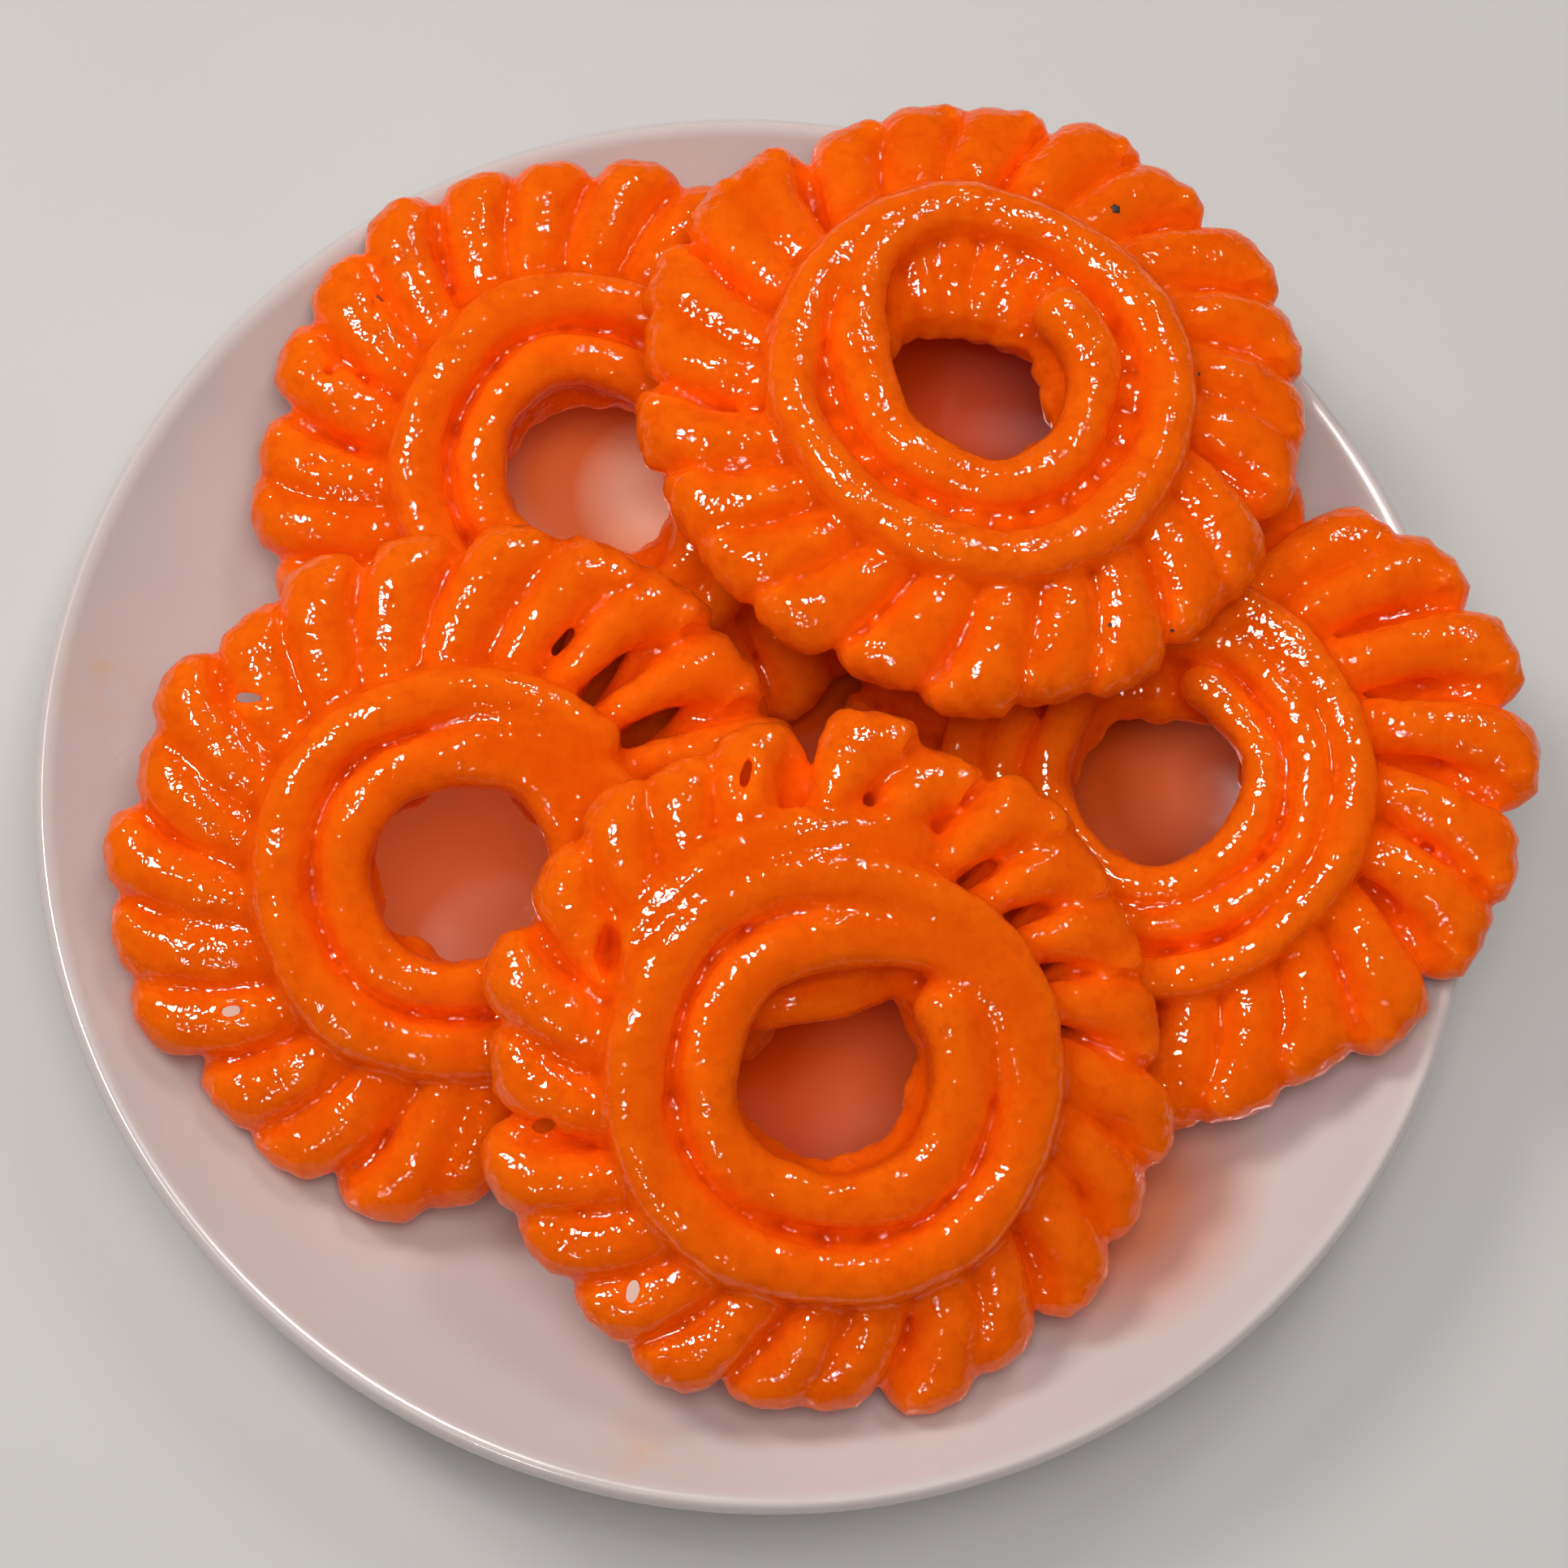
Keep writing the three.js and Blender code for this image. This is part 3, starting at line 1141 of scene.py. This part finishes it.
@dataclass
class Crumbs:
    """Specks of burnt crumb on a sweet: the pixel that shows each, and half its width in millimetres."""

    node: str
    specks: tuple[tuple[Pixel, float], ...]
    rings: int = 9
    sides: int = 16
    flatness: float = 0.45
    ragged: float = 0.3
    blunt: float = 0.15
    oblique: Spot = (0.3, 0.9, 0.1)

    def speck(self, spot: np.ndarray, normal: np.ndarray, half: float) -> np.ndarray:
        """Shapes one speck.

        Args:
            spot: where it sits, in millimetres.
            normal: the skin's direction there.
            half: half its width.

        Returns:
            Rings of points from its underside to its top.
        """
        aside = np.cross(normal, self.oblique)
        aside /= np.linalg.norm(aside)
        other = np.cross(normal, aside)
        climb = np.linspace(-math.pi / 2 + self.blunt, math.pi / 2 - self.blunt, self.rings)
        angles = FULL_TURN * np.arange(self.sides) / self.sides
        edge = half * (1 + self.ragged * np.sin(3 * angles + spot[0]) * np.cos(2 * angles + spot[1]))
        level = np.outer(edge * np.cos(angles), aside) + np.outer(edge * np.sin(angles), other)
        rise = np.sin(climb)[:, None, None] * normal * half * self.flatness
        return spot + np.cos(climb)[:, None, None] * level + rise

    def build(self, sweet: Object) -> Object:
        """Sets the specks on the sweet's skin.

        Args:
            sweet: the sweet that carries them.

        Returns:
            The finished mesh object.
        """
        tree = BVHTree.FromObject(sweet, bpy.context.evaluated_depsgraph_get())
        maker = MeshMaker()
        for pixel, half in self.specks:
            spot, normal, _, _ = tree.ray_cast(Vector(VIEW.eye), VIEW.ray(pixel))
            maker.add_rings(self.speck(np.array(spot) / MM, np.array(normal), half))
        crumbs = maker.to_object(f"{self.node}_crumbs", Matrix.Identity(4))
        crumbs.data.shade_smooth()
        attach(crumbs, BODY)
        return crumbs

    def dress(self, crumbs: Object, finish: Material) -> None:
        """Gives the specks their finish.

        Args:
            crumbs: the mesh object.
            finish: the material.
        """
        crumbs.data.materials.append(finish)


@dataclass
class Plate:
    """A shallow plate that curves up to a rounded lip, on a foot ring, in millimetres."""

    node: str = "plate"
    x: float = -3.0
    radius: float = 100.0
    height: float = 24.0
    wall: float = 4.0
    lip: float = 1.5
    floor_radius: float = 58.0
    floor_height: float = 7.0
    foot_inner: float = 53.0
    foot_depth: float = 2.5
    foot_round: float = 0.8
    segments: int = 180
    foot_steps: int = 8
    heel_steps: int = 3
    wall_steps: int = 28
    lip_steps: int = 8
    floor_steps: int = 10

    def wall_point(self, radius: float, below: float) -> tuple[float, float]:
        """Gives a point of the upper face, or one below it.

        Args:
            radius: how far out it is.
            below: how far under the upper face.

        Returns:
            Its radius and height.
        """
        climb = max(0.0, (radius - self.floor_radius) / (self.radius - self.lip - self.floor_radius))
        return radius, self.floor_height + (self.height - self.floor_height) * climb ** 2 - below

    def profile(self) -> list[tuple[float, float]]:
        """Works out the plate's section.

        Returns:
            Radius and height pairs, from the axis below to the axis on top.
        """
        edge = self.radius - self.lip
        radii = np.linspace(self.floor_radius, edge, self.wall_steps).tolist()
        under_floor = np.linspace(0.0, self.foot_inner - self.foot_round, self.foot_steps)
        foot = [(r, self.foot_depth) for r in under_floor]
        foot += [(self.foot_inner, self.foot_depth - self.foot_round), (self.foot_inner, self.foot_round)]
        foot += [(self.foot_inner + self.foot_round, 0.0), (self.floor_radius - self.foot_round, 0.0)]
        foot += [(self.floor_radius, self.foot_round)]
        under = [self.wall_point(r, self.wall) for r in radii[self.heel_steps:]]
        bottom, top = under[-1][1], self.height
        middle, half = (bottom + top) / 2, (top - bottom) / 2
        swing = np.linspace(-math.pi / 2, math.pi / 2, self.lip_steps + 2)[1:-1]
        lip = [(edge + self.lip * math.cos(a), middle + half * math.sin(a)) for a in swing]
        over = [self.wall_point(r, 0.0) for r in radii[::-1]]
        floor = [(r, self.floor_height) for r in np.linspace(self.floor_radius, 0.0, self.floor_steps)[1:]]
        return foot + under + lip + over + floor

    def build(self) -> Object:
        """Turns the section into the plate, in place of its solid.

        Returns:
            The finished mesh object.
        """
        section = np.array(self.profile())
        angles = FULL_TURN * np.arange(self.segments) / self.segments
        rings = section[1:-1]
        points = [
            ((self.x + r * math.cos(a)) * MM, r * math.sin(a) * MM, z * MM)
            for r, z in rings for a in angles
        ]
        points += [(self.x * MM, 0.0, section[0][1] * MM), (self.x * MM, 0.0, section[-1][1] * MM)]
        bottom, top = len(points) - 2, len(points) - 1
        faces = []
        for i in range(self.segments):
            j = (i + 1) % self.segments
            faces.append((bottom, j, i))
            for ring in range(len(rings) - 1):
                low, high = ring * self.segments, (ring + 1) * self.segments
                faces.append((low + i, low + j, high + j, high + i))
            last = (len(rings) - 1) * self.segments
            faces.append((last + i, last + j, top))
        name = f"{self.node}_turned"
        mesh = bpy.data.meshes.new(name)
        mesh.from_pydata(points, [], faces)
        mesh.shade_smooth()
        plate = put_in_scene(name, mesh)
        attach(plate, BODY)
        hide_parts(self.node)
        return plate

    def dress(self, plate: Object, finish: Material) -> None:
        """Gives the plate its finish.

        Args:
            plate: the mesh object.
            finish: the material.
        """
        plate.data.materials.append(finish)


@dataclass(frozen=True)
class Lamp:
    """A square light that faces the plate, in metres and watts."""

    name: str
    spot: Spot
    size: float
    watts: float
    tint: Colour
    use: Light

    def hang(self) -> Object:
        """Hangs the light.

        Returns:
            The light.
        """
        data = bpy.data.lights.new(self.name, "AREA")
        data.shape = "SQUARE"
        data.size = self.size
        data.energy = self.watts
        data.color = self.tint
        lamp = put_in_scene(self.name, data)
        lamp.location = self.spot
        lamp.rotation_euler = (-Vector(self.spot)).to_track_quat("-Z", "Y").to_euler()
        lamp.visible_glossy = self.use is Light.SPARKLE
        lamp.visible_diffuse = self.use is Light.SOFT
        return lamp


@dataclass
class Studio:
    """The lights and the floor, in metres."""

    lamps: tuple[Lamp, ...] = (
        Lamp("window_light", (-0.60, 0.45, 0.80), 0.30, 4.2, (1.0, 0.96, 0.93), Light.SOFT),
        Lamp("window_sparkle", (-0.37, 0.15, 1.02), 0.19, 11.0, (1.0, 0.98, 0.96), Light.SPARKLE),
        Lamp("back_sparkle", (0.30, 0.60, 0.90), 0.13, 3.0, (1.0, 0.98, 0.96), Light.SPARKLE),
        Lamp("front_sparkle", (-0.25, -0.60, 0.80), 0.10, 1.4, (1.0, 0.98, 0.96), Light.SPARKLE),
        Lamp("back_light", (0.30, 0.60, 0.90), 0.30, 1.7, (1.0, 0.97, 0.95), Light.SOFT),
        Lamp("overhead_fill", (-0.04, -0.12, 1.20), 0.60, 6.1, (1.0, 0.96, 0.94), Light.SOFT),
    )
    floor_half: float = 3.0
    air_colour: Colour = (1.0, 0.98, 0.96)
    air_strength: float = 0.16

    def lights(self) -> None:
        """Hangs the lights and sets the soft surrounding light."""
        for lamp in self.lamps:
            lamp.hang()
        world = bpy.data.worlds.new("studio_air")
        world.use_nodes = True
        air = world.node_tree.nodes["Background"]
        air.inputs["Color"].default_value = (*self.air_colour, 1.0)
        air.inputs["Strength"].default_value = self.air_strength
        world.cycles_visibility.glossy = False
        bpy.context.scene.world = world
        bpy.context.scene.view_settings.view_transform = "Standard"

    def floor(self, finish: Material) -> Object:
        """Lays the floor under the plate.

        Args:
            finish: the floor's material.

        Returns:
            The floor.
        """
        half = self.floor_half
        mesh = bpy.data.meshes.new("studio_floor")
        corners = [(-half, -half, 0.0), (half, -half, 0.0), (half, half, 0.0), (-half, half, 0.0)]
        mesh.from_pydata(corners, [], [(0, 1, 2, 3)])
        mesh.materials.append(finish)
        floor = put_in_scene("studio_floor", mesh)
        return floor


# The sweets in the order that they were laid
HEAP = (
    Jangiri(
        "jangiri_back_left",
        Place(-28, 46, 12.65, 9.5, 125),
        Petals(23, 4, 11),
        Web(),
        (Spiral(15.8, 24.8, 272, half_width=3.7),),
        (
            Slit((410, 455), 4.2, 1.4, 25),
            Slit((385, 570), 4.2, 1.3, 0),
            Slit((465, 370), 4.2, 1.4, 45),
            Slit((635, 270), 3.6, 1.3, 80),
        ),
    ),
    Jangiri(
        "jangiri_right",
        Place(53.1, -1, 14.75, 11.5, 8),
        Petals(22, 5, 21, 6.5, 22, half_width=4.1, rim_half_width=5.6),
        Web(),
        (
            Spiral(14.8, 27.4, 60, half_width=3.2),
            Spiral(21.1, 21.1, 100, turns=0.85, half_width=2.9, wobble=0.8),
        ),
    ),
    Jangiri(
        "jangiri_left",
        Place(-45.5, -12.5, 18.7, 13, 100),
        Petals(23, 7, 31, 2.5, 65, half_width=4.5, open_at=45, open_span=34),
        Web(8, 0.79),
        (
            Spiral(15.8, 24.6, 100, step_out=(0.95, 1.3), half_width=3.8, wobble=0.6),
            LooseStrand(
                (
                    (1, 23, 11.5), (8, 19, 12.6), (14.5, 12.5, 12.8),
                    (18, 3.5, 12.8), (18, -5, 12.6), (14, -13, 12),
                ),
                6.2,
            ),
        ),
        (
            Slit((308, 860), 5.0, 1.7, 0),
            Slit((237, 1143), 2.2, 1.2, 15),
            Slit((285, 1246), 4.2, 1.6, 10),
            Slit((345, 1337), 2.0, 1.2, 40),
        ),
    ),
    Jangiri(
        "jangiri_front",
        Place(3, -41, 25.6, 15.5, 110),
        Petals(23, 10, 41, half_width=4.1, open_at=52, open_span=48),
        Web(2, 0.72),
        (
            Spiral(17.0, 26.8, 32, x=-0.5, y=-0.5, step_out=(0.7, 1.2), half_width=4.1),
            LooseStrand(
                ((-27, 12, 10.5), (-22, 21, 11.5), (-12, 28, 11.5), (0, 30, 11.2), (10, 29, 10)),
                5.2,
            ),
            LooseStrand(((-9.5, 8.5, 6.5), (-5, 9.2, 7.6), (0, 10, 7.6), (6, 12, 6.5)), 3.4, 2.8),
        ),
        (
            Slit((918, 958), 6.0, 1.6, 75),
            Slit((750, 1168), 9.0, 3.6, 85, Cut.DENT),
            Slit((670, 1387), 3.6, 1.8, 15),
            Slit((712, 1493), 2.2, 1.3, 10),
            Slit((780, 1590), 4.2, 1.7, 75),
        ),
    ),
    Jangiri(
        "jangiri_top",
        Place(24.5, 50, 29.9, 7.5, -112),
        Petals(23, 2, 51, 3, 35, half_width=4.4, rim_half_width=5.6),
        Web(),
        (Spiral(15.6, 26.6, 40, x=1, step_out=(0.58, 0.86), tip_rise=2.2, half_width=3.9),),
    ),
)

SPECKED = Crumbs(
    "jangiri_top",
    (((1374, 257), 0.72), ((1368, 770), 0.3), ((1444, 777), 0.3), ((1477, 461), 0.3)),
)


def report(piece: Object) -> None:
    """Logs a finished piece."""
    LOG.info("%s: %d faces", piece.name, len(piece.data.polygons))


def main() -> None:
    """Builds the plate, the sweets and the studio."""
    logging.basicConfig(level=logging.INFO, format="%(message)s")
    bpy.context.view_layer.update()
    VIEW.camera()
    studio = Studio()
    studio.lights()
    studio.floor(PaleFloor().material())
    plate = Plate()
    turned = plate.build()
    plate.dress(turned, PlateGlaze().material())
    report(turned)
    batter = SyrupBatter().material()
    sweets: dict[str, Object] = {}
    for jangiri in HEAP:
        sweet = jangiri.build()
        jangiri.dress(sweet, batter)
        sweets[jangiri.node] = sweet
        report(sweet)
    crumbs = SPECKED.build(sweets[SPECKED.node])
    SPECKED.dress(crumbs, BurntCrumb().material())
    report(crumbs)


if __name__ == "__main__":
    main()
